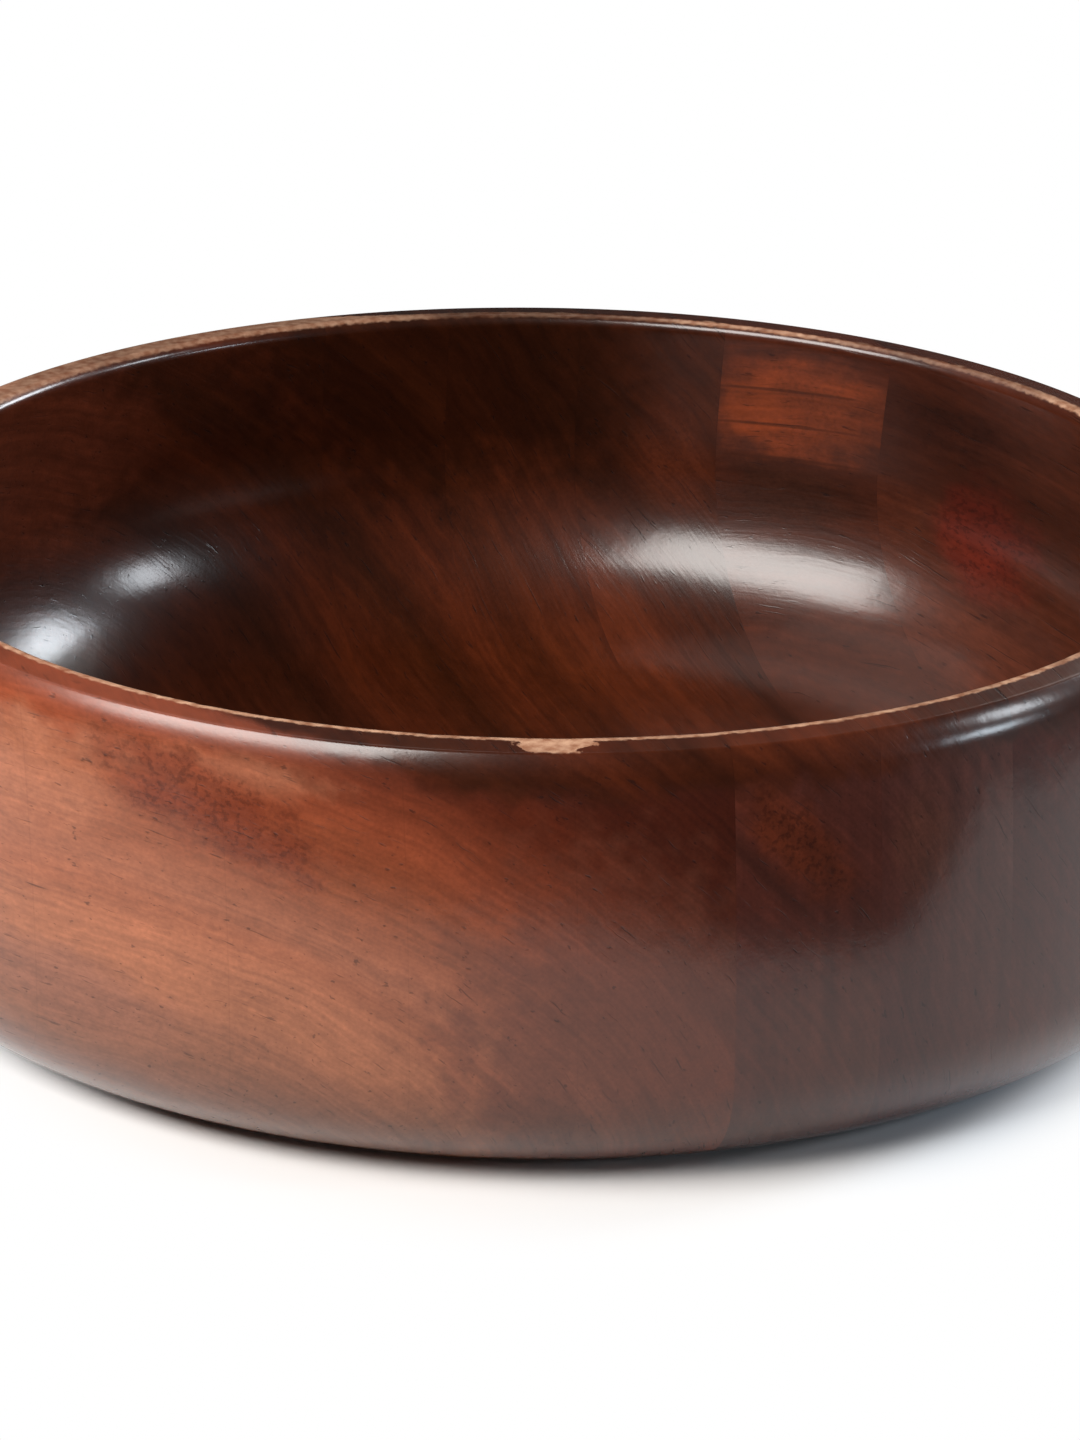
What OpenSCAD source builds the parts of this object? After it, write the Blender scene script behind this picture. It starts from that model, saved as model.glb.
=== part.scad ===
/* [Bowl] */
// Outside diameter at the widest part of the wall
bowl_d = 305; // [260:1:380]
// Height from the table to the top of the rim
bowl_h = 90; // [80:1:125]
// Thickness of the wall
wall_t = 10.5; // [9.5:0.5:16]
// Thickness of the floor, from the table to the inside
floor_t = 12; // [9:0.5:18]

/* [Curves] */
// Radius of the round from the foot up to the outside wall
outer_corner_r = 24; // [16:1:32]
// Radius of the round from the inside floor up to the inside wall
inner_corner_r = 44; // [28:1:52]
// Radius of the wall's slow curve inwards up to the rim
wall_curve_r = 400; // [320:10:900]

/* [Rim] */
// Radius of the shoulder from the outside wall up to the outer edge of the rim
shoulder_r = 12; // [10:1:20]
// Height from the start of the shoulder to the top of the rim
shoulder_h = 6.5; // [4:0.5:8]
// Radius of the round on the outer edge of the rim
rim_outer_r = 1; // [0.5:0.25:2]
// Radius of the round on the inner edge of the rim
rim_inner_r = 2.5; // [1:0.25:3]
// Fall of the top of the rim towards the outside, in degrees
rim_fall = 5; // [0:0.5:8]

/* [Foot] */
// Width of the flat ring that the bowl stands on
foot_ring_w = 24; // [12:1:40]
// Depth of the shallow hollow inside the foot ring
foot_hollow_h = 1.5; // [0.5:0.25:4]
// Width of the slope from the foot ring up into the hollow
foot_slope_w = 4; // [2:0.5:10]

/* [Planks] */
// Distance from one glue line to the next
plank_w = 30; // [26:1:44]
// Thickness of a glue line
glue_t = 0.2; // [0.1:0.05:0.5]
// Position of the glue line nearest the middle of the bowl
joint_shift = -9; // [-16:1:16]
// Least width of an outermost plank: a narrower one becomes part of its neighbour
edge_plank_w = 12; // [6:1:20]
// Turn of the planks away from front to back, in degrees
plank_turn = 18; // [0:1:45]

/* [Hidden] */
bowl_r = bowl_d / 2;
foot_r = bowl_r - outer_corner_r;
foot_hollow_r = foot_r - foot_ring_w;
hollow_curve_r = wall_curve_r - wall_t;
// Angle between two points of a round, of the rim's small outer edge, and of the wall's slow curve
round_step = 5;
edge_step = 15;
slow_step = 1;
// Sides of the turned shape where it is shown as flat faces
turned_sides = 240;
// Extra length that carries a cut past the bowl
past = 5;

// Centres of the outside curves, as [distance from the axis, height]
outer_corner_c = [foot_r, outer_corner_r];
wall_c = [bowl_r - wall_curve_r, outer_corner_r];

// Inside corner: it touches the floor and the inside of the wall
inner_corner_z = floor_t + inner_corner_r;
inner_corner_x = wall_c.x
    + sqrt(pow(hollow_curve_r - inner_corner_r, 2) - pow(inner_corner_z - wall_c.y, 2));
inner_corner_c = [inner_corner_x, inner_corner_z];

// Inner round of the rim: it touches the inside of the wall and the bowl's full height
rim_inner_z = bowl_h - rim_inner_r;
rim_inner_x = wall_c.x
    + sqrt(pow(hollow_curve_r + rim_inner_r, 2) - pow(rim_inner_z - wall_c.y, 2));
rim_inner_c = [rim_inner_x, rim_inner_z];

// Shoulder: it touches the outside of the wall where it starts
shoulder_start = asin((bowl_h - shoulder_h - wall_c.y) / wall_curve_r);
shoulder_c = wall_c + (wall_curve_r - shoulder_r) * [cos(shoulder_start), sin(shoulder_start)];

// Outer round of the rim: it touches the falling top and the shoulder
rim_along = [cos(rim_fall), -sin(rim_fall)];
rim_up = [sin(rim_fall), cos(rim_fall)];
rim_start = rim_inner_c + (rim_inner_r - rim_outer_r) * rim_up - shoulder_c;
rim_reach = rim_start * rim_along;
rim_flat_w = sqrt(pow(rim_reach, 2) - rim_start * rim_start + pow(shoulder_r - rim_outer_r, 2))
    - rim_reach;
rim_outer_c = shoulder_c + rim_start + rim_flat_w * rim_along;

// Angles at which the shoulder and the inside of the wall meet the rounds
shoulder_end = atan2(rim_outer_c.y - shoulder_c.y, rim_outer_c.x - shoulder_c.x);
inner_wall_end = atan2(rim_inner_c.y - wall_c.y, rim_inner_c.x - wall_c.x);
inner_wall_start = atan2(inner_corner_c.y - wall_c.y, inner_corner_c.x - wall_c.x);

// Glue lines: steps of one plank width to either side of the shifted middle one
joint_first = ceil((edge_plank_w - bowl_r - joint_shift) / plank_w);
joint_last = floor((bowl_r - edge_plank_w - joint_shift) / plank_w);
joint_x = [for (k = [joint_first:joint_last]) joint_shift + k * plank_w];
joint_count = len(joint_x);
plank_count = joint_count + 1;

// Points of an arc from one angle to another, both ends included
function arc(centre, radius, from, to, step) =
    let (count = max(1, ceil(abs(to - from) / step)))
    [for (i = [0:count])
        let (angle = from + (to - from) * i / count)
        centre + radius * [cos(angle), sin(angle)]];

// The same arc without its first point, which the arc before it ends on
function next_arc(centre, radius, from, to, step) =
    let (points = arc(centre, radius, from, to, step))
    [for (i = [1:len(points) - 1]) points[i]];

// Outline of one side of the turned bowl, from the axis out over the foot, rim and floor
function bowl_outline() = concat(
    [[0, foot_hollow_h], [foot_hollow_r - foot_slope_w, foot_hollow_h], [foot_hollow_r, 0]],
    arc(outer_corner_c, outer_corner_r, -90, 0, round_step),
    next_arc(wall_c, wall_curve_r, 0, shoulder_start, slow_step),
    next_arc(shoulder_c, shoulder_r, shoulder_start, shoulder_end, round_step),
    next_arc(rim_outer_c, rim_outer_r, shoulder_end, 90 - rim_fall, edge_step),
    arc(rim_inner_c, rim_inner_r, 90 - rim_fall, 180 + inner_wall_end, round_step),
    next_arc(wall_c, hollow_curve_r, inner_wall_end, inner_wall_start, slow_step),
    next_arc(inner_corner_c, inner_corner_r, inner_wall_start, -90, round_step),
    [[0, floor_t]]
);

module turned_bowl() {
    rotate_extrude($fn = turned_sides)
        polygon(bowl_outline());
}

// Upright slice of the glued block between two distances across the planks
module block_slice(from, to) {
    length = 2 * (bowl_r + past);
    rotate([0, 0, plank_turn])
        translate([from, -length / 2, -past])
            cube([to - from, length, bowl_h + 2 * past]);
}

// Plank i of the block, between its glue lines, with the bowl turned out of it
module plank(i) {
    from = i == 1 ? -bowl_r - past : joint_x[i - 2] + glue_t / 2;
    to = i == plank_count ? bowl_r + past : joint_x[i - 1] - glue_t / 2;
    color(i % 2 == 0 ? "sienna" : "saddlebrown")
        intersection() {
            turned_bowl();
            block_slice(from, to);
        }
}

// Film of glue i between plank i and the next one, turned flush with the bowl
module glue_line(i) {
    color("maroon")
        intersection() {
            turned_bowl();
            block_slice(joint_x[i - 1] - glue_t / 2, joint_x[i - 1] + glue_t / 2);
        }
}

for (i = [1:plank_count]) {
    plank(i);
}
for (i = [1:joint_count]) {
    glue_line(i);
}
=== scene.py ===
import math
from collections import namedtuple

import bmesh
import bpy
import numpy as np
from mathutils import Matrix, Vector


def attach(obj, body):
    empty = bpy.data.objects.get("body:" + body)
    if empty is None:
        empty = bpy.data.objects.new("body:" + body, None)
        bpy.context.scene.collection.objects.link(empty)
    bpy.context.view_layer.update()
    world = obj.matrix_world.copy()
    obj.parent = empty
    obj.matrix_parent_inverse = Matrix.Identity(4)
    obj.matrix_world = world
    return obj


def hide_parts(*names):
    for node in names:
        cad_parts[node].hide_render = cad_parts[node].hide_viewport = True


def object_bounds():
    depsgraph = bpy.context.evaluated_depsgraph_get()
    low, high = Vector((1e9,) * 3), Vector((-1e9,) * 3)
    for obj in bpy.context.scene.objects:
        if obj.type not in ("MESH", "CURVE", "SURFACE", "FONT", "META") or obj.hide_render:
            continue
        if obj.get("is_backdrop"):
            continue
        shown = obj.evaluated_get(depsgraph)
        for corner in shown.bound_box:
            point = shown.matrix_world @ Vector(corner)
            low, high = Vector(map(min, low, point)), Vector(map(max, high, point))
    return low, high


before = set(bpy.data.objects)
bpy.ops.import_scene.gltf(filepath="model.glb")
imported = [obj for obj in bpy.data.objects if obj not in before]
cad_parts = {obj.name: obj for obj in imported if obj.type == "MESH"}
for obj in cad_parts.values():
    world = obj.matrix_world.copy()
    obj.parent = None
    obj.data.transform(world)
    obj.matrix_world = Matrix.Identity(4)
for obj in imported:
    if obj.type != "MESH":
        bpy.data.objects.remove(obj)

scene = bpy.context.scene
cad_low, cad_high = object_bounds()
MM = 0.001

# Turned form of the bowl, in millimetres, as the solids have it, a skin smaller to stay in their box
SKIN = 0.01
BOWL_R = min(cad_high.x, cad_high.y, -cad_low.x, -cad_low.y) / MM - SKIN
BOWL_H = cad_high.z / MM
WALL_T = 10.5
FLOOR_T = 12.0
OUTER_CORNER_R = 24.0
INNER_CORNER_R = 44.0
WALL_CURVE_R = 400.0
SHOULDER_R = 12.0
SHOULDER_H = 6.5
RIM_OUTER_R = 1.0
RIM_INNER_R = 2.5
RIM_FALL = math.radians(5)
FOOT_RING_W = 24.0
FOOT_HOLLOW_H = 1.5
FOOT_SLOPE_W = 4.0
PLANK_TURN = math.radians(18)

# Fineness of the visible mesh: steps round the bowl, and steps along the outline in millimetres
TURN_STEPS = 720
CURVE_STEP = 1.2
RIM_STEP = 0.45
EDGE_STEP = 0.15
FLAT_STEP = 6.0
# Distance in millimetres within which a point counts as lying on a cut
CUT_TOLERANCE = 0.0001

# Nicks worn into the inner edge of the rim: one chip facing the camera, and small ones all round.
# A nick has an angle and a half width in degrees, and a depth in millimetres
CHIP = (-89.0, 3.4, 0.1)
NICK_COUNT = 46
NICK_HALF_ANGLE = (0.5, 1.6)
NICK_DEPTH = (0.03, 0.14)
NICK_REACH = 1.5
NICK_SEED = 11

# Camera, fitted to the rim and the foot in the 1080 by 1440 photograph
PHOTO_W = 1080
PHOTO_H = 1440
RIM_CENTRE_PX = (537.1, 501.6)
FOCAL_PX = 5391.0
CAMERA_DISTANCE = 1.1455
CAMERA_ELEVATION = math.radians(18.70)
CAMERA_ROLL = math.radians(0.68)
SENSOR = 36.0


# Outline of the turned bowl

def arc_points(centre, radius, start, end, step):
    count = max(2, math.ceil(abs(end - start) * radius / step))
    angles = np.linspace(start, end, count + 1)
    return [(centre[0] + radius * math.cos(a), centre[1] + radius * math.sin(a)) for a in angles]


def line_points(start, end, step):
    count = max(1, math.ceil(math.dist(start, end) / step))
    return [tuple(p) for p in np.linspace(start, end, count + 1)]


def bowl_outline():
    foot_r = BOWL_R - OUTER_CORNER_R
    hollow_r = foot_r - FOOT_RING_W
    hollow_curve_r = WALL_CURVE_R - WALL_T
    wall_c = np.array((BOWL_R - WALL_CURVE_R, OUTER_CORNER_R))

    corner_z = FLOOR_T + INNER_CORNER_R
    corner_x = wall_c[0] + math.sqrt((hollow_curve_r - INNER_CORNER_R) ** 2 - (corner_z - wall_c[1]) ** 2)
    rim_in_z = BOWL_H - RIM_INNER_R
    rim_in_x = wall_c[0] + math.sqrt((hollow_curve_r + RIM_INNER_R) ** 2 - (rim_in_z - wall_c[1]) ** 2)
    rim_in = np.array((rim_in_x, rim_in_z))

    shoulder_start = math.asin((BOWL_H - SHOULDER_H - wall_c[1]) / WALL_CURVE_R)
    shoulder_way = np.array((math.cos(shoulder_start), math.sin(shoulder_start)))
    shoulder_c = wall_c + (WALL_CURVE_R - SHOULDER_R) * shoulder_way

    along = np.array((math.cos(RIM_FALL), -math.sin(RIM_FALL)))
    up = np.array((math.sin(RIM_FALL), math.cos(RIM_FALL)))
    start = rim_in + (RIM_INNER_R - RIM_OUTER_R) * up - shoulder_c
    reach = start @ along
    flat_w = math.sqrt(reach ** 2 - start @ start + (SHOULDER_R - RIM_OUTER_R) ** 2) - reach
    rim_out = shoulder_c + start + flat_w * along

    shoulder_end = math.atan2(rim_out[1] - shoulder_c[1], rim_out[0] - shoulder_c[0])
    inner_end = math.atan2(rim_in[1] - wall_c[1], rim_in[0] - wall_c[0])
    inner_start = math.atan2(corner_z - wall_c[1], corner_x - wall_c[0])
    quarter = math.pi / 2

    stretches = [
        line_points((0, FOOT_HOLLOW_H), (hollow_r - FOOT_SLOPE_W, FOOT_HOLLOW_H), FLAT_STEP),
        line_points((hollow_r - FOOT_SLOPE_W, FOOT_HOLLOW_H), (hollow_r, 0), FLAT_STEP),
        line_points((hollow_r, 0), (foot_r, 0), FLAT_STEP),
        arc_points((foot_r, OUTER_CORNER_R), OUTER_CORNER_R, -quarter, 0, CURVE_STEP),
        arc_points(wall_c, WALL_CURVE_R, 0, shoulder_start, CURVE_STEP),
        arc_points(shoulder_c, SHOULDER_R, shoulder_start, shoulder_end, RIM_STEP),
        arc_points(rim_out, RIM_OUTER_R, shoulder_end, quarter - RIM_FALL, EDGE_STEP),
        line_points(rim_out + RIM_OUTER_R * up, rim_in + RIM_INNER_R * up, RIM_STEP),
        arc_points(rim_in, RIM_INNER_R, quarter - RIM_FALL, math.pi + inner_end, RIM_STEP),
        arc_points(wall_c, hollow_curve_r, inner_end, inner_start, CURVE_STEP),
        arc_points((corner_x, corner_z), INNER_CORNER_R, inner_start, -quarter, CURVE_STEP),
        line_points((corner_x, FLOOR_T), (0, FLOOR_T), FLAT_STEP),
    ]
    points = [stretches[0][0]]
    for stretch in stretches:
        points.extend(stretch[1:])
    return np.array(points)


def distance_from_rim(outline):
    """Distance along the outline from its highest point: negative outside, positive inside."""
    steps = np.linalg.norm(np.diff(outline, axis=0), axis=1)
    travelled = np.concatenate([[0.0], np.cumsum(steps)])
    return travelled - travelled[np.argmax(outline[:, 1])]


def into_wood(outline):
    """Direction at each point of the outline that leads into the wood."""
    way = np.gradient(outline, axis=0)
    way /= np.linalg.norm(way, axis=1, keepdims=True)
    return np.stack([-way[:, 1], way[:, 0]], axis=-1)


# Wear of the rim

def nick_depth(angles):
    draws = np.random.default_rng(NICK_SEED)
    nicks = [CHIP]
    for _ in range(NICK_COUNT):
        nicks.append((draws.uniform(0, 360), draws.uniform(*NICK_HALF_ANGLE), draws.uniform(*NICK_DEPTH)))
    depth = np.zeros_like(angles)
    for centre, half_angle, deepest in nicks:
        off = (np.degrees(angles) - centre + 180) % 360 - 180
        depth = np.maximum(depth, deepest * np.clip(1 - (off / half_angle) ** 2, 0, 1))
    return depth


# Turned surface as a grid of points and faces, before it is cut into planks

def turned_grid(outline):
    angles = np.linspace(0, 2 * math.pi, TURN_STEPS, endpoint=False)
    from_rim = distance_from_rim(outline)
    closeness = np.exp(-(from_rim / NICK_REACH) ** 2)
    worn = closeness[:, None] * nick_depth(angles)
    inward = into_wood(outline)
    radius = outline[:, :1] + inward[:, :1] * worn
    height = outline[:, 1:] + inward[:, 1:] * worn
    rows = np.stack([radius * np.cos(angles), radius * np.sin(angles), height], axis=-1)[1:-1]
    poles = np.array([(0, 0, outline[0, 1]), (0, 0, outline[-1, 1])])
    points = np.concatenate([rows.reshape(-1, 3), poles])

    marks = {
        "from_rim": np.concatenate([np.repeat(from_rim[1:-1], TURN_STEPS), from_rim[[0, -1]]]),
        "worn": np.concatenate([worn[1:-1].ravel(), [0.0, 0.0]]),
    }

    around = np.arange(TURN_STEPS)
    ahead = (around + 1) % TURN_STEPS
    row_count = len(rows)
    faces = []
    for row in range(row_count - 1):
        low = row * TURN_STEPS
        high = low + TURN_STEPS
        faces.append(np.stack([low + around, low + ahead, high + ahead, high + around], axis=-1))
    quads = np.concatenate(faces)
    last = (row_count - 1) * TURN_STEPS
    bottom = np.stack([ahead, around, np.full(TURN_STEPS, len(points) - 2)], axis=-1)
    top = np.stack([last + around, last + ahead, np.full(TURN_STEPS, len(points) - 1)], axis=-1)
    return points, marks, [quads, bottom, top]


def across(points):
    return points[..., 0] * math.cos(PLANK_TURN) + points[..., 1] * math.sin(PLANK_TURN)


def slice_range(node):
    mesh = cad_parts[node].data
    corners = np.empty(len(mesh.vertices) * 3, np.float32)
    mesh.vertices.foreach_get("co", corners)
    values = across(corners.reshape(-1, 3)) / MM
    return float(values.min()), float(values.max())


def cut_slice(name, points, marks, face_sets, low, high):
    place = across(points)
    bm = bmesh.new()
    layers = {mark: bm.verts.layers.float.new(mark) for mark in marks}
    used = {}
    for faces in face_sets:
        spread = place[faces]
        near = faces[(spread.max(axis=1) > low) & (spread.min(axis=1) < high)]
        for corner in np.unique(near):
            if corner not in used:
                vertex = bm.verts.new(points[corner] * MM)
                for mark, values in marks.items():
                    vertex[layers[mark]] = values[corner]
                used[corner] = vertex
        for face in near:
            bm.faces.new([used[corner] for corner in face]).smooth = True

    normal = Vector((math.cos(PLANK_TURN), math.sin(PLANK_TURN), 0))
    for limit, way in ((low, -normal), (high, normal)):
        geom = bm.verts[:] + bm.edges[:] + bm.faces[:]
        cut = bmesh.ops.bisect_plane(
            bm, geom=geom, dist=CUT_TOLERANCE * MM, clear_outer=True,
            plane_co=normal * limit * MM, plane_no=way
        )
        edges = [e for e in cut["geom_cut"] if isinstance(e, bmesh.types.BMEdge)]
        if not edges:
            continue
        for edge in edges:
            edge.smooth = False
        caps = bmesh.ops.edgeloop_fill(bm, edges=edges)["faces"]
        bmesh.ops.triangulate(bm, faces=caps, ngon_method="BEAUTY")

    bmesh.ops.recalc_face_normals(bm, faces=bm.faces[:])
    mesh = bpy.data.meshes.new(name)
    bm.to_mesh(mesh)
    bm.free()
    piece = bpy.data.objects.new(name, mesh)
    scene.collection.objects.link(piece)
    return piece


points, marks, face_sets = turned_grid(bowl_outline())
pieces = {}
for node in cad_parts:
    low, high = slice_range(node)
    piece = cut_slice(f"turned_{node}", points, marks, face_sets, low, high)
    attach(piece, "root")
    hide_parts(node)
    pieces[node] = piece


# Node graphs

# Colour sockets of the Mix node
MIX_A = 6
MIX_B = 7
MIX_RESULT = 2
OPAQUE = 1.0


class Graph:
    """Short calls that add nodes to one material."""

    def __init__(self, name):
        self.material = bpy.data.materials.new(name)
        self.material.use_nodes = True
        self.nodes = self.material.node_tree.nodes
        self.links = self.material.node_tree.links
        self.nodes.clear()

    def add(self, kind, **settings):
        node = self.nodes.new(kind)
        for key, value in settings.items():
            setattr(node, key, value)
        return node

    def feed(self, socket, value):
        if isinstance(value, bpy.types.NodeSocket):
            self.links.new(value, socket)
        else:
            socket.default_value = value

    def attribute(self, name):
        return self.add("ShaderNodeAttribute", attribute_name=name).outputs["Fac"]

    def math(self, operation, a, b=0.0, c=0.0):
        node = self.add("ShaderNodeMath", operation=operation)
        for socket, value in zip(node.inputs, (a, b, c)):
            self.feed(socket, value)
        return node.outputs[0]

    def vector(self, operation, a, b=(0.0, 0.0, 0.0)):
        node = self.add("ShaderNodeVectorMath", operation=operation)
        self.feed(node.inputs[0], a)
        self.feed(node.inputs[1], b)
        return node.outputs["Value" if operation in ("LENGTH", "DISTANCE") else "Vector"]

    def combine(self, x, y, z):
        node = self.add("ShaderNodeCombineXYZ")
        for socket, value in zip(node.inputs, (x, y, z)):
            self.feed(socket, value)
        return node.outputs[0]

    def separate(self, vector):
        node = self.add("ShaderNodeSeparateXYZ")
        self.feed(node.inputs[0], vector)
        return node.outputs

    def noise(self, vector, detail, roughness):
        node = self.add("ShaderNodeTexNoise")
        self.feed(node.inputs["Vector"], vector)
        self.feed(node.inputs["Scale"], 1.0)
        self.feed(node.inputs["Detail"], detail)
        self.feed(node.inputs["Roughness"], roughness)
        return node.outputs

    def between(self, value, low, high, out_low=0.0, out_high=1.0):
        """Smooth step from one value to another as a value goes from low to high."""
        node = self.add("ShaderNodeMapRange", interpolation_type="SMOOTHSTEP")
        for socket, number in zip(node.inputs, (value, low, high, out_low, out_high)):
            self.feed(socket, number)
        return node.outputs[0]

    def ramp(self, factor, stops):
        node = self.add("ShaderNodeValToRGB")
        band = node.color_ramp
        while len(band.elements) < len(stops):
            band.elements.new(1.0)
        for element, (place, colour) in zip(band.elements, stops):
            element.position = place
            element.color = (*colour, OPAQUE)
        self.feed(node.inputs[0], factor)
        return node.outputs[0]

    def tones(self, value, stops):
        """Colour for a value in millimetres, from stops of (millimetres, colour)."""
        first = stops[0][0]
        span = stops[-1][0] - first
        factor = self.math("DIVIDE", self.math("SUBTRACT", value, first), span)
        return self.ramp(factor, [((at - first) / span, colour) for at, colour in stops])

    def mix(self, factor, a, b, blend="MIX"):
        node = self.add("ShaderNodeMix", data_type="RGBA", blend_type=blend)
        self.feed(node.inputs["Factor"], factor)
        for socket, value in ((node.inputs[MIX_A], a), (node.inputs[MIX_B], b)):
            linked = isinstance(value, bpy.types.NodeSocket)
            self.feed(socket, value if linked else (*value, OPAQUE))
        return node.outputs[MIX_RESULT]

    def shade(self, colour, amount):
        return self.mix(1.0, colour, self.combine(amount, amount, amount), blend="MULTIPLY")

    def bump(self, height, strength, distance, normal=None):
        node = self.add("ShaderNodeBump")
        self.feed(node.inputs["Height"], height)
        self.feed(node.inputs["Strength"], strength)
        self.feed(node.inputs["Distance"], distance)
        if normal is not None:
            self.feed(node.inputs["Normal"], normal)
        return node.outputs[0]

    def finish(self, shader):
        output = self.add("ShaderNodeOutputMaterial")
        self.links.new(shader, output.inputs["Surface"])
        return self.material


# Curve between screen colours from 0 to 255 and the linear ones of the nodes
CHANNEL_MAX = 255
DARK_END = 0.04045
DARK_SLOPE = 12.92
CURVE_OFFSET = 0.055
CURVE_POWER = 2.4


def linear(channel):
    share = channel / CHANNEL_MAX
    if share <= DARK_END:
        return share / DARK_SLOPE
    return ((share + CURVE_OFFSET) / (1 + CURVE_OFFSET)) ** CURVE_POWER


def srgb(red, green, blue):
    return linear(red), linear(green), linear(blue)


# Place in the block of planks

def block_place(graph):
    """Place in the block in millimetres: across the planks, along them, and up."""
    coordinates = graph.add("ShaderNodeTexCoord").outputs["Object"]
    mapping = graph.add("ShaderNodeMapping")
    graph.feed(mapping.inputs["Vector"], coordinates)
    mapping.inputs["Rotation"].default_value = (0, 0, -PLANK_TURN)
    mapping.inputs["Scale"].default_value = (1 / MM, 1 / MM, 1 / MM)
    return mapping.outputs[0]


# Wood: growth rings round a pith that runs along the planks

# Wander of the rings in millimetres: size across, size along, reach
RING_WANDER = ((70, 260, 9.0), (16, 120, 3.0), (3.5, 45, 0.8))
# Radius at which the way round the pith is measured
RING_UNROLL_R = 110.0
SEED_STEP = (37.0, 211.0, 53.0)

# Figure in the wood: size in millimetres out from the pith, round it and along the plank, or for the
# last two across the planks, along them and up, and the share by which it lightens and darkens the
# wood outside and inside
Figure = namedtuple("Figure", "size detail outside inside")
CLOUDS = Figure((10, 34, 70), 2.0, 0.12, 0.25)
STREAKS = Figure((4.2, 60, 150), 3.0, 0.09, 0.30)
LINES = Figure((1.0, 26, 110), 2.0, 0.16, 0.12)
MOTTLE = Figure((2.0, 4.0, 6.0), 4.0, 0.13, 0.20)
FIBRES = Figure((0.7, 28, 0.7), 2.0, 0.12, 0.10)
UPRIGHT = Figure((3.0, 60, 60), 2.0, 0.20, 0.0)
NOISE_MIDDLE = 0.5
NOISE_GAIN = 4.0
SOFT_DETAIL = 1.0
PLAIN_DETAIL = 2.0
FINE_DETAIL = 3.0
NOISE_ROUGHNESS = 0.5

# Dark marks: dashes that follow the rings, and short pores
DASH_SIZE = (0.5, 7.0, 40)
PORE_SIZE = (0.9, 1.7, 14)
MARK_LEVELS = (0.66, 0.76)
MARK_DEPTH = 0.5

# Brush strokes left in the lacquer inside
STROKE_SIZE = (1.0, 10.0, 40)
INSIDE_RELIEF = 2.0

# Patch of figure: place and reach in block millimetres, slope in degrees, and how much of its
# tone and of its dark flecks shows
Patch = namedtuple("Patch", "place reach slope tone amount flecks")
RAGGED_SIZE = (5, 30, 5)
PATCH_EDGE = (0.9, 1.7)
FLECK_SIZE = (1.2, 2.6, 1.2)
FLECK_LEVELS = (0.36, 0.52)
FLECK_ROUGHNESS = 0.6


def figure(graph, place, size, detail=PLAIN_DETAIL, roughness=NOISE_ROUGHNESS):
    """Noise stretched to a size in millimetres each way."""
    return graph.noise(graph.vector("DIVIDE", place, size), detail=detail, roughness=roughness)


def ring_place(graph, place, shifted, pith):
    """Place among the growth rings in millimetres: out from the pith, round it, and along the plank."""
    for size_across, size_along, reach in RING_WANDER:
        swirl = figure(graph, shifted, (size_across, size_along, size_across), SOFT_DETAIL)["Color"]
        swirl = graph.vector("SUBTRACT", swirl, (NOISE_MIDDLE, NOISE_MIDDLE, NOISE_MIDDLE))
        place = graph.vector("ADD", place, graph.vector("MULTIPLY", swirl, (reach, 0.0, reach)))
    x, along, z = graph.separate(place)
    aside = graph.math("SUBTRACT", x, pith[0])
    above = graph.math("SUBTRACT", z, pith[1])
    out = graph.vector("LENGTH", graph.combine(aside, 0.0, above))
    turn = graph.math("ARCTAN2", aside, above)
    return graph.combine(out, graph.math("MULTIPLY", turn, RING_UNROLL_R), along)


def add_patch(graph, colour, place, patch):
    """Mixes in a patch of figure: an ellipsoid with a ragged edge and dark flecks."""
    mapping = graph.add("ShaderNodeMapping", vector_type="TEXTURE")
    graph.feed(mapping.inputs["Vector"], place)
    mapping.inputs["Location"].default_value = patch.place
    mapping.inputs["Rotation"].default_value = (0, math.radians(patch.slope), 0)
    mapping.inputs["Scale"].default_value = patch.reach
    ragged = figure(graph, place, RAGGED_SIZE, FINE_DETAIL)[0]
    distance = graph.math("ADD", graph.vector("LENGTH", mapping.outputs[0]), ragged)
    mask = graph.between(distance, *PATCH_EDGE, patch.amount, 0.0)
    colour = graph.mix(mask, colour, patch.tone)
    fleck = figure(graph, place, FLECK_SIZE, FINE_DETAIL, FLECK_ROUGHNESS)[0]
    fleck = graph.between(fleck, *FLECK_LEVELS, patch.flecks, 0.0)
    return graph.shade(colour, graph.math("SUBTRACT", 1.0, graph.math("MULTIPLY", mask, fleck)))


def vary(graph, shade, noise, used, kind):
    """Lightens and darkens a shade by noise, by one share outside and another inside."""
    share = graph.between(used, 0.0, 1.0, kind.outside, kind.inside)
    swing = graph.math("MULTIPLY_ADD", noise, NOISE_GAIN, -NOISE_GAIN * NOISE_MIDDLE)
    return graph.math("MULTIPLY", shade, graph.math("MULTIPLY_ADD", swing, share, 1.0))


def side_colour(graph, place, out, side):
    colour = graph.tones(out, side.tones)
    for patch in side.patches:
        colour = add_patch(graph, colour, place, patch)
    return colour


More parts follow.
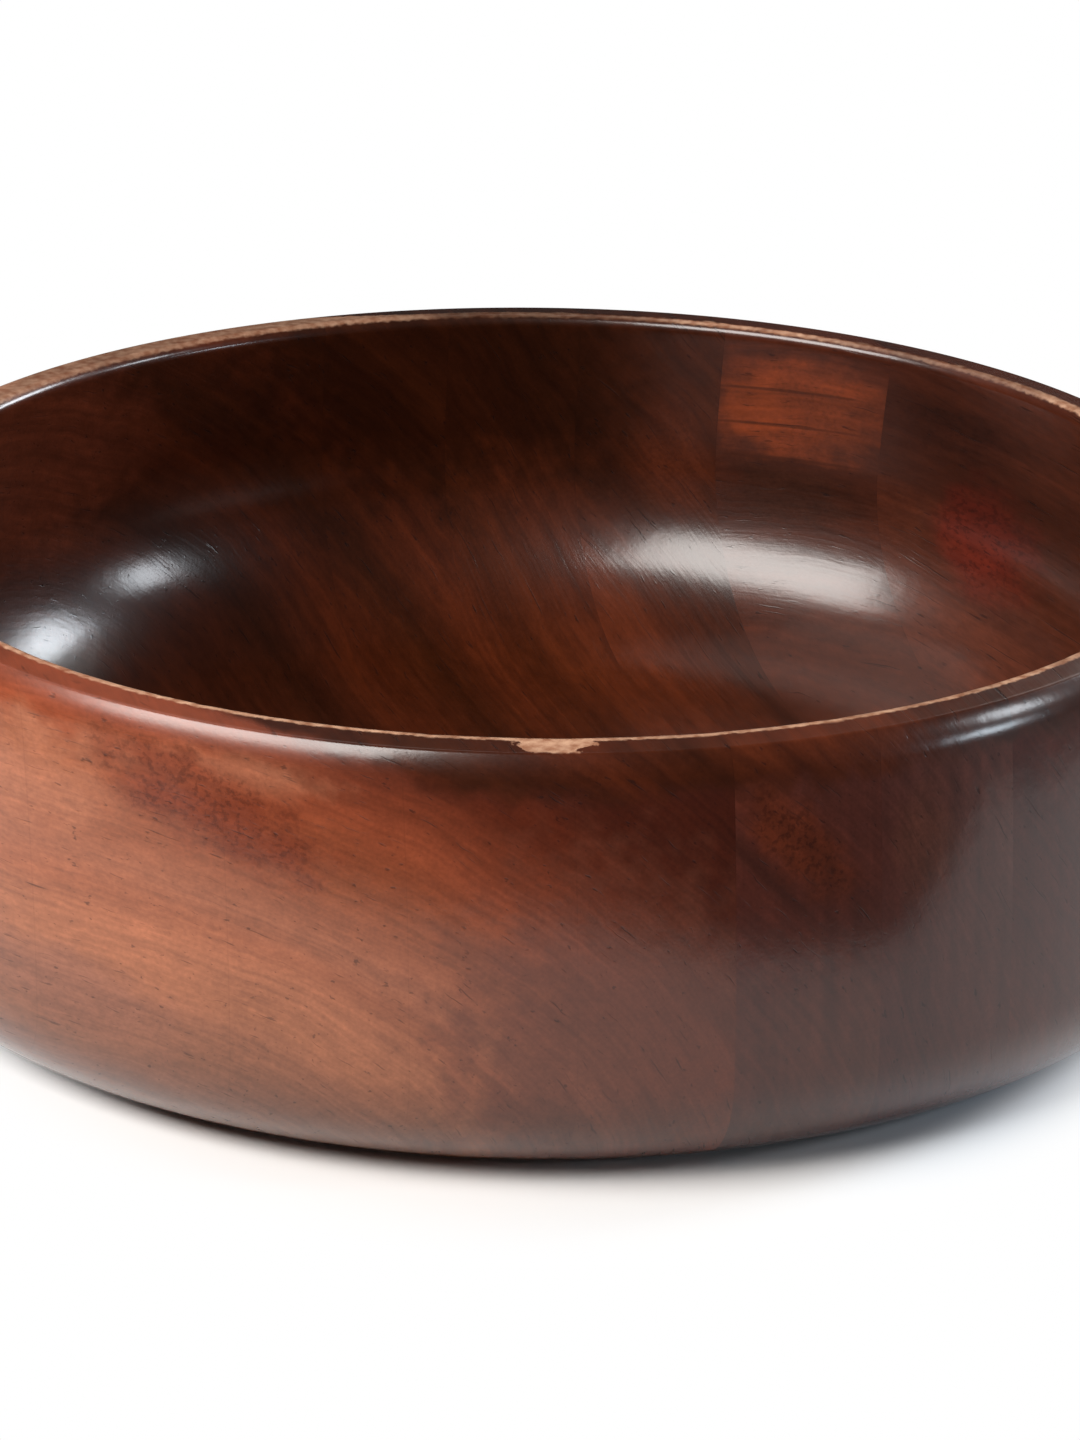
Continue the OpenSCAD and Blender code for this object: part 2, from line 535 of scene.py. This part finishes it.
def wood(name, tree, darken=1.0):
    graph = Graph(name)
    place = block_place(graph)
    shift = tuple(tree.seed * step for step in SEED_STEP)
    shifted = graph.vector("ADD", place, shift)
    rings = ring_place(graph, place, shifted, tree.pith)
    out = graph.separate(rings)[0]
    rings = graph.vector("ADD", rings, shift)
    used = inside_mask(graph, place)

    outside = side_colour(graph, place, out, tree.outside)
    inside = side_colour(graph, place, out, tree.inside)
    colour = graph.mix(used, outside, inside)

    shade = darken
    for kind in (CLOUDS, STREAKS, LINES, MOTTLE):
        shade = vary(graph, shade, figure(graph, rings, kind.size, kind.detail)[0], used, kind)
    if tree.upright:
        shade = vary(graph, shade, figure(graph, shifted, UPRIGHT.size, UPRIGHT.detail)[0], used, UPRIGHT)
    fibre = figure(graph, shifted, FIBRES.size, FIBRES.detail)[0]
    shade = vary(graph, shade, fibre, used, FIBRES)

    dash = graph.between(figure(graph, rings, DASH_SIZE)[0], *MARK_LEVELS)
    pore = graph.between(figure(graph, rings, PORE_SIZE)[0], *MARK_LEVELS)
    mark = graph.math("MAXIMUM", dash, pore)
    shade = graph.math("MULTIPLY", shade, graph.math("MULTIPLY_ADD", mark, -MARK_DEPTH, 1.0))
    stroke = figure(graph, rings, STROKE_SIZE)[0]
    relief = graph.math("MULTIPLY_ADD", graph.math("MULTIPLY", stroke, used), INSIDE_RELIEF, fibre)
    return lacquered(graph, graph.shade(colour, shade), place, used, fibre, mark, relief)


# Finish: darker inside from use, worn edge at the rim with a painted highlight along it, lacquer over the
# grain

# Distances in millimetres from the highest line of the rim: negative outside, positive inside
RIM_DARK = (-7.0, -2.0)
RIM_DARK_DROP = (-7.0, 10.0)
RIM_DARK_DROP_ACROSS = (-118.0, -50.0)
RIM_RAGGED_SIZE = (6, 16, 6)
RIM_RAGGED = 8.0

# Worn line along the rim's inner edge, painted paler in part as the highlight on that edge
WORN_OUTER = (-1.3, -0.6)
WORN_INNER = (1.2, 2.0)
WORN_RAGGED_SIZE = (1.6, 1.6, 1.6)
WORN_RAGGED = 1.4
WORN_FADE_SIZE = (14, 14, 14)
WORN_FADE_LEVELS = (0.3, 0.6)
WORN_FADE = (0.65, 0.95)
WORN_GRAIN_SIZE = (2.2, 2.2, 2.2)
WORN_GRAIN_LEVELS = (0.22, 0.78)
# Tones of the worn line: worn wood, lightened in part as a painted highlight
WORN_AND_HIGHLIGHT_TONES = (srgb(150, 98, 70), srgb(212, 168, 138))
# Stretches where the worn line is wider or narrower: place, reach, and millimetres added
WIDER_RAGGED_SIZE = (2.2, 2.2, 2.2)
WIDER_RAGGED = 9.0
WIDER = [
    ((-42.0, -140.0, 88.0), (8.0, 16.0), 5.0),
    ((-60.0, 126.0, 88.0), (45.0, 82.0), 6.5),
    ((95.0, 105.0, 88.0), (45.0, 85.0), -1.2),
]
# Stretches of the far rim where less of the worn line and its painted highlight shows: place, reach, and
# share of it that shows
DIMMER_WEAR_AND_HIGHLIGHT = [
    ((40.0, 133.0, 90.0), (18.0, 42.0), 0.2),
    ((125.0, 75.0, 90.0), (20.0, 45.0), 0.5),
    ((-60.0, 126.0, 88.0), (50.0, 90.0), 0.55),
]
NICK_SHOWS = (0.03, 0.12)

# Lacquer: its roughness outside, on the rubbed rim from left to right and inside, and the share left
# on the floor inside
OUTSIDE_ROUGHNESS = 0.17
RIM_ROUGHNESS = (0.28, 0.19)
RIM_ROUGHNESS_ACROSS = (-20.0, 30.0)
INSIDE_ROUGHNESS = 0.2
RUBBED_RIM = (-20.0, -10.0)
FLOOR_WORN_UP = (13.0, 32.0)
FLOOR_COAT = 0.4
COAT_IOR = 1.5
WOOD_SPECULAR = 0.1
WOOD_ROUGHNESS = (0.36, 0.5)
WORN_ROUGHER = 0.25
RIPPLE_SIZE = (6, 6, 6)
RIPPLE = (0.1, 0.5 * MM)
COAT_RELIEF = (0.35, 0.03 * MM)
GRAIN_RELIEF = (0.6, 0.05 * MM)


def ragged_rim(graph, place, size, reach, detail=PLAIN_DETAIL):
    """Distance from the rim with a ragged wander."""
    wander = figure(graph, place, size, detail)[0]
    wander = graph.math("MULTIPLY_ADD", wander, reach, -reach * NOISE_MIDDLE)
    return graph.math("ADD", graph.attribute("from_rim"), wander)


def inside_mask(graph, place):
    edge = ragged_rim(graph, place, RIM_RAGGED_SIZE, RIM_RAGGED)
    drop = graph.between(graph.separate(place)[0], *RIM_DARK_DROP_ACROSS, *RIM_DARK_DROP)
    return graph.between(graph.math("ADD", edge, drop), *RIM_DARK)


def worn_edge_and_painted_highlight(graph, place):
    """How much worn wood and painted highlight shows: a worn line along the inner edge of the rim, painted
    paler in part as the highlight on that edge, and the nicks in it.
    """
    edge = ragged_rim(graph, place, WORN_RAGGED_SIZE, WORN_RAGGED, FINE_DETAIL)
    inner = graph.between(edge, *WORN_INNER, 1.0, 0.0)
    ragged = figure(graph, place, WIDER_RAGGED_SIZE, FINE_DETAIL)[0]
    for middle, reach, added in WIDER:
        away = graph.math("MULTIPLY_ADD", ragged, WIDER_RAGGED, graph.vector("DISTANCE", place, middle))
        edge = graph.math("ADD", edge, graph.between(away, *reach, added, 0.0))
    line = graph.math("MULTIPLY", inner, graph.between(edge, *WORN_OUTER))
    fade = graph.between(figure(graph, place, WORN_FADE_SIZE)[0], *WORN_FADE_LEVELS, *WORN_FADE)
    nick = graph.between(graph.attribute("worn"), *NICK_SHOWS)
    bare_and_highlight = graph.math("MAXIMUM", graph.math("MULTIPLY", line, fade), nick)
    for middle, reach, share in DIMMER_WEAR_AND_HIGHLIGHT:
        dimmed = graph.between(graph.vector("DISTANCE", place, middle), *reach, share, 1.0)
        bare_and_highlight = graph.math("MULTIPLY", bare_and_highlight, dimmed)
    return bare_and_highlight


def lacquered(graph, colour, place, used, fibre, mark, relief):
    # Worn line with its painted highlight on the rim's inner edge, and the nicks
    worn = worn_edge_and_painted_highlight(graph, place)
    grains = graph.between(figure(graph, place, WORN_GRAIN_SIZE, FINE_DETAIL)[0], *WORN_GRAIN_LEVELS)
    colour = graph.mix(worn, colour, graph.mix(grains, *WORN_AND_HIGHLIGHT_TONES))
    roughness = graph.between(fibre, 0.0, 1.0, *WOOD_ROUGHNESS)
    roughness = graph.math("MULTIPLY_ADD", graph.math("MAXIMUM", worn, mark), WORN_ROUGHER, roughness)

    ripple = figure(graph, place, RIPPLE_SIZE, SOFT_DETAIL)[0]
    smooth_coat = graph.bump(ripple, *RIPPLE)
    relief = graph.math("SUBTRACT", relief, mark)
    coat = graph.bump(relief, *COAT_RELIEF, smooth_coat)
    grain = graph.bump(relief, *GRAIN_RELIEF, smooth_coat)

    aside, _, above = graph.separate(place)
    rubbed = graph.between(aside, *RIM_ROUGHNESS_ACROSS, *RIM_ROUGHNESS)
    rim = graph.between(graph.attribute("from_rim"), *RUBBED_RIM, OUTSIDE_ROUGHNESS, rubbed)
    left = graph.between(above, *FLOOR_WORN_UP, FLOOR_COAT, 1.0)

    shader = graph.add("ShaderNodeBsdfPrincipled")
    graph.feed(shader.inputs["Base Color"], colour)
    graph.feed(shader.inputs["Roughness"], roughness)
    graph.feed(shader.inputs["Normal"], grain)
    graph.feed(shader.inputs["Coat Normal"], coat)
    shader.inputs["Specular IOR Level"].default_value = WOOD_SPECULAR
    graph.feed(shader.inputs["Coat Weight"], graph.between(used, 0.0, 1.0, 1.0, left))
    shader.inputs["Coat IOR"].default_value = COAT_IOR
    graph.feed(shader.inputs["Coat Roughness"], graph.between(used, 0.0, 1.0, rim, INSIDE_ROUGHNESS))
    return graph.finish(shader.outputs[0])


# Tones of the planks, by distance from the pith in millimetres

LEFT_OUTSIDE = [
    (50, srgb(146, 96, 74)), (66, srgb(142, 90, 66)), (74, srgb(146, 90, 64)), (79, srgb(160, 98, 68)),
    (87, srgb(168, 102, 71)), (94, srgb(154, 89, 60)), (100, srgb(158, 94, 66)), (106, srgb(146, 82, 54)),
    (112, srgb(140, 76, 48)), (119, srgb(136, 69, 42)), (126, srgb(140, 68, 42)), (132, srgb(116, 53, 31)),
    (138, srgb(88, 35, 17)), (148, srgb(74, 27, 12)), (165, srgb(72, 27, 14)),
]
LEFT_INSIDE = [
    (50, srgb(66, 28, 14)), (105, srgb(64, 26, 11)), (114, srgb(48, 19, 7)), (122, srgb(60, 24, 10)),
    (130, srgb(70, 27, 9)), (142, srgb(50, 19, 5)), (156, srgb(76, 30, 11)), (168, srgb(62, 24, 7)),
    (185, srgb(84, 35, 15)), (205, srgb(58, 23, 8)), (240, srgb(64, 26, 10)),
]
DARK_OUTSIDE = [
    (100, srgb(86, 40, 28)), (150, srgb(78, 34, 24)), (185, srgb(90, 44, 34)), (215, srgb(74, 32, 24)),
    (250, srgb(84, 40, 31)), (300, srgb(70, 30, 22)),
]
MAUVE_OUTSIDE = [
    (100, srgb(84, 42, 31)), (160, srgb(78, 36, 28)), (200, srgb(88, 47, 38)), (300, srgb(74, 35, 27)),
]
BROWN_INSIDE = [
    (180, srgb(72, 32, 17)), (230, srgb(62, 27, 15)), (260, srgb(76, 33, 18)), (300, srgb(64, 27, 14)),
]

PALE_LEFT = Patch((-130, -80, 72), (17, 60, 13), 0, srgb(172, 106, 76), 0.8, 0.1)
PALE_RIM = Patch((-108, -105, 81), (30, 60, 5), 0, srgb(172, 108, 80), 0.75, 0.05)
SPECKLED = Patch((-102, -111, 75), (29, 40, 10), 28, srgb(116, 50, 27), 0.85, 0.4)
MAUVE_LEFT = Patch((-124, -85, 30), (24, 50, 10), 10, srgb(136, 86, 67), 0.65, 0.05)
MAUVE = Patch((-33, -148, 29), (38, 40, 46), 0, srgb(106, 56, 40), 0.8, 0.05)
PALE_STREAK = Patch((-34, -148, 15), (15, 40, 3), 64, srgb(136, 76, 54), 0.6, 0.05)
LEFT_WALL = Patch((-84, 110, 72), (36, 48, 26), 0, srgb(96, 42, 24), 0.75, 0.1)
# Darker far inside wall: partly darker wood, partly painted shade
FAR_WALL_DARK_AND_SHADE = Patch((20, 138, 76), (62, 60, 38), 0, srgb(36, 13, 3), 0.8, 0.0)
BURL = Patch((4, -149, 70), (18, 30, 7), 48, srgb(102, 43, 21), 0.8, 0.5)
BURL_EDGE = Patch((-4, -149, 66), (20, 30, 2), 48, srgb(48, 21, 12), 0.5, 0.0)
MAUVE_FOOT = Patch((6, -149, 16), (32, 40, 34), 0, srgb(92, 50, 37), 0.6, 0.05)
PALE_BLOB = Patch((31, -147, 66), (8, 30, 12), 0, srgb(98, 54, 40), 0.65, 0.15)
RUSSET = Patch((72, 118, 56), (9, 40, 18), 0, srgb(84, 36, 18), 0.5, 0.3)
ORANGE = Patch((97, 105, 72), (20, 40, 14), 0, srgb(120, 52, 23), 0.9, 0.2)
ORANGE_CORE = Patch((88, 109, 70), (8, 40, 9), 0, srgb(146, 64, 26), 0.6, 0.0)
DARK_FOOT = Patch((95, 104, 50), (15, 40, 9), 0, srgb(50, 25, 15), 0.7, 0.2)
CROSS_LINES = [
    Patch((94, 105, up), (18, 40, 0.5), -3, srgb(52, 22, 10), 0.6, 0.0) for up in (75.5, 66.5, 58.0)
]
RED_FLECKS = Patch((127, 58, 50), (9, 30, 15), 0, srgb(96, 26, 15), 0.6, 0.7)
DARK_TOP = Patch((122, 68, 74), (12, 40, 9), 0, srgb(46, 19, 11), 0.6, 0.4)

# Wood of a plank: its pith, its tones and patches outside and inside, the seed of its noise, and
# whether upright streaks show
Side = namedtuple("Side", "tones patches")
Tree = namedtuple("Tree", "pith outside inside seed upright")
LEFT = Tree(
    pith=(-125, -40),
    outside=Side(LEFT_OUTSIDE, [PALE_LEFT, PALE_RIM, SPECKLED, MAUVE_LEFT, MAUVE, PALE_STREAK]),
    inside=Side(LEFT_INSIDE, [FAR_WALL_DARK_AND_SHADE, LEFT_WALL]),
    seed=1,
    upright=False,
)
WOODS = {f"plank_{i}": LEFT for i in range(1, 6)}
WOODS["plank_6"] = Tree(
    pith=(-118, -50),
    outside=Side(DARK_OUTSIDE, [MAUVE_FOOT, BURL_EDGE, BURL]),
    inside=Side(LEFT_INSIDE, [FAR_WALL_DARK_AND_SHADE]),
    seed=2,
    upright=True,
)
WOODS["plank_7"] = Tree(
    pith=(-130, -30),
    outside=Side(MAUVE_OUTSIDE, [PALE_BLOB]),
    inside=Side(LEFT_INSIDE, [FAR_WALL_DARK_AND_SHADE]),
    seed=3,
    upright=True,
)
WOODS["plank_8"] = Tree(
    pith=(-110, -70),
    outside=Side(DARK_OUTSIDE, []),
    inside=Side(LEFT_INSIDE, [FAR_WALL_DARK_AND_SHADE, RUSSET]),
    seed=4,
    upright=True,
)
WOODS["plank_9"] = Tree(
    pith=(95, -170),
    outside=Side(DARK_OUTSIDE, []),
    inside=Side(BROWN_INSIDE, [DARK_FOOT, ORANGE, ORANGE_CORE, *CROSS_LINES]),
    seed=5,
    upright=True,
)
WOODS["plank_10"] = Tree(
    pith=(60, -150),
    outside=Side(DARK_OUTSIDE, []),
    inside=Side(BROWN_INSIDE, [DARK_TOP, RED_FLECKS]),
    seed=6,
    upright=True,
)
GLUE_DARKEN = 0.92

for node, piece in pieces.items():
    kind, _, number = node.rpartition("_")
    if kind == "plank":
        look = wood(f"wood_{number}", WOODS[node])
    else:
        look = wood(f"glue_{number}", WOODS[f"plank_{number}"], GLUE_DARKEN)
    piece.data.materials.append(look)


# Floor: a pale table top, plain white away from the bowl to the camera and in the lacquer

# Corners of the table top in metres; its right side is cut back, as the lacquer in the photograph
# mirrors it
FLOOR_CORNERS = [(-0.5, -0.4), (0.04, -0.38), (0.2, -0.215), (0.46, -0.235), (0.46, 0.6), (-0.5, 0.6)]
# Oval round the bowl, in metres, in which the table top shows the shadow, and its soft edge
SHADOW_SQUEEZE = (1.15, 1.0, 1.0)
SHADOW_CENTRE = (0.004, -0.0165, 0.0)
SHADOW_R = (0.130, 0.162)
# Colours of the table top: as it is seen, with painted cool light on its right side, and as it lights the
# bowl
FLOOR_SEEN = (0.82, 0.82, 0.82)
FLOOR_PAINTED_COOL_LIGHT = (0.8, 0.9, 1.0)
PAINTED_COOL_LIGHT_ACROSS = (0.04, 0.11)
FLOOR_BOUNCE = (0.28, 0.28, 0.28)


def shows_background(graph):
    """One for rays from the camera, and for those mirrored or let through by a surface it sees."""
    path = graph.add("ShaderNodeLightPath").outputs
    mirrored = graph.math("MAXIMUM", path["Is Glossy Ray"], path["Is Transmission Ray"])
    return graph.math("MAXIMUM", path["Is Camera Ray"], mirrored)


def floor_look():
    graph = Graph("floor")
    bounced = graph.add("ShaderNodeLightPath").outputs["Is Diffuse Ray"]
    diffuse = graph.add("ShaderNodeBsdfDiffuse")
    place = graph.add("ShaderNodeTexCoord").outputs["Object"]
    # Painted cool light: the table top is tinted blue on its right, where the windows' light falls
    painted_cool_light = graph.between(graph.separate(place)[0], *PAINTED_COOL_LIGHT_ACROSS)
    seen = graph.mix(painted_cool_light, FLOOR_SEEN, FLOOR_PAINTED_COOL_LIGHT)
    graph.feed(diffuse.inputs["Color"], graph.mix(bounced, seen, FLOOR_BOUNCE))
    white = graph.add("ShaderNodeEmission")
    place = graph.vector("MULTIPLY", place, SHADOW_SQUEEZE)
    away = graph.between(graph.vector("DISTANCE", place, SHADOW_CENTRE), *SHADOW_R)
    mix = graph.add("ShaderNodeMixShader")
    graph.feed(mix.inputs[0], graph.math("MULTIPLY", away, shows_background(graph)))
    graph.links.new(diffuse.outputs[0], mix.inputs[1])
    graph.links.new(white.outputs[0], mix.inputs[2])
    return graph.finish(mix.outputs[0])


def staged(name, mesh, look):
    mesh.materials.append(look)
    stage = bpy.data.objects.new(name, mesh)
    scene.collection.objects.link(stage)
    stage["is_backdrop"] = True
    return stage


floor_mesh = bpy.data.meshes.new("floor")
floor_mesh.from_pydata([(x, y, 0) for x, y in FLOOR_CORNERS], [], [tuple(range(len(FLOOR_CORNERS)))])
staged("floor", floor_mesh, floor_look())


# Dim room behind the lights, which the lacquer mirrors as it does in the photograph

ROOM_R = 8.0
ROOM_DETAIL = 4
ROOM_GLOW = 0.03


def room_look():
    graph = Graph("room")
    glow = graph.add("ShaderNodeEmission")
    glow.inputs["Strength"].default_value = ROOM_GLOW
    return graph.finish(glow.outputs[0])


room_mesh = bpy.data.meshes.new("room")
bm = bmesh.new()
bmesh.ops.create_icosphere(bm, subdivisions=ROOM_DETAIL, radius=ROOM_R)
bm.to_mesh(room_mesh)
bm.free()
room = staged("room", room_mesh, room_look())
room.visible_camera = False
room.visible_diffuse = False
room.visible_transmission = False
room.visible_shadow = False


# Lights, each placed by its direction from the bowl: azimuth from the camera, positive to its right

def soft_light(name, azimuth, elevation, distance, size, radiance, colour, roll=0):
    """Rectangular lamp that faces the middle of the bowl, equally bright at any size."""
    turn = math.radians(azimuth)
    rise = math.radians(elevation)
    way = Vector((math.sin(turn) * math.cos(rise), -math.cos(turn) * math.cos(rise), math.sin(rise)))
    data = bpy.data.lights.new(name, "AREA")
    data.shape = "RECTANGLE"
    data.size, data.size_y = size
    data.energy = radiance * math.pi * size[0] * size[1]
    data.color = colour
    light = bpy.data.objects.new(name, data)
    facing = way.to_track_quat("Z", "Y").to_matrix() @ Matrix.Rotation(math.radians(roll), 3, "Z")
    light.matrix_world = Matrix.Translation(way * distance) @ facing.to_4x4()
    light.visible_camera = False
    scene.collection.objects.link(light)


WARM_WHITE = (1.0, 0.96, 0.92)
COOL_WHITE = (0.88, 0.94, 1.0)
BLUE_WHITE = (0.78, 0.9, 1.0)
soft_light("key", azimuth=-53, elevation=45, distance=1.3, size=(0.98, 0.57),
           radiance=14.0, colour=WARM_WHITE, roll=8)
soft_light("overhead", azimuth=-140, elevation=57, distance=1.3, size=(1.0, 0.6),
           radiance=0.8, colour=WARM_WHITE)
soft_light("window_near", azimuth=82, elevation=23, distance=5.9, size=(0.85, 1.05),
           radiance=19.0, colour=COOL_WHITE)
soft_light("window_far", azimuth=117, elevation=25, distance=1.5, size=(0.36, 0.42),
           radiance=20.0, colour=COOL_WHITE)
soft_light("sill", azimuth=67, elevation=10.5, distance=0.73, size=(0.12, 0.07),
           radiance=20.0, colour=BLUE_WHITE)
soft_light("back", azimuth=140, elevation=25, distance=2.0, size=(1.6, 1.2),
           radiance=1.4, colour=WARM_WHITE)


# World: white to the camera, and faint as a light

WORLD_STRENGTH = 0.03
WHITE = (1.0, 1.0, 1.0, OPAQUE)


class WorldGraph(Graph):
    """The same short calls for the world."""

    def __init__(self, name):
        self.world = bpy.data.worlds.new(name)
        self.world.use_nodes = True
        self.nodes = self.world.node_tree.nodes
        self.links = self.world.node_tree.links
        self.nodes.clear()

    def finish(self, shader):
        output = self.add("ShaderNodeOutputWorld")
        self.links.new(shader, output.inputs["Surface"])
        return self.world


def world_look():
    graph = WorldGraph("world")
    faint = graph.add("ShaderNodeBackground")
    faint.inputs["Color"].default_value = WHITE
    faint.inputs["Strength"].default_value = WORLD_STRENGTH
    white = graph.add("ShaderNodeBackground")
    white.inputs["Color"].default_value = WHITE
    mix = graph.add("ShaderNodeMixShader")
    graph.feed(mix.inputs[0], shows_background(graph))
    graph.links.new(faint.outputs[0], mix.inputs[1])
    graph.links.new(white.outputs[0], mix.inputs[2])
    return graph.finish(mix.outputs[0])


scene.world = world_look()


# Camera

def photo_camera():
    rim_centre = Vector((0, 0, cad_high.z))
    back = Vector((0, -math.cos(CAMERA_ELEVATION), math.sin(CAMERA_ELEVATION)))
    pitch = CAMERA_ELEVATION - math.atan2(RIM_CENTRE_PX[1] - PHOTO_H / 2, FOCAL_PX)
    yaw = math.atan2(PHOTO_W / 2 - RIM_CENTRE_PX[0], FOCAL_PX)
    forward = Vector((math.sin(yaw) * math.cos(pitch), math.cos(yaw) * math.cos(pitch), -math.sin(pitch)))
    level = forward.cross(Vector((0, 0, 1))).normalized()
    upright = level.cross(forward)
    right = math.cos(CAMERA_ROLL) * level + math.sin(CAMERA_ROLL) * upright
    up = right.cross(forward)

    data = bpy.data.cameras.new("camera")
    data.sensor_width = SENSOR
    data.lens = FOCAL_PX / PHOTO_H * SENSOR
    camera = bpy.data.objects.new("camera", data)
    turn = Matrix((right, up, -forward)).transposed()
    camera.matrix_world = Matrix.Translation(rim_centre + back * CAMERA_DISTANCE) @ turn.to_4x4()
    scene.collection.objects.link(camera)
    scene.camera = camera


photo_camera()
scene.view_settings.view_transform = "Standard"

low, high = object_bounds()
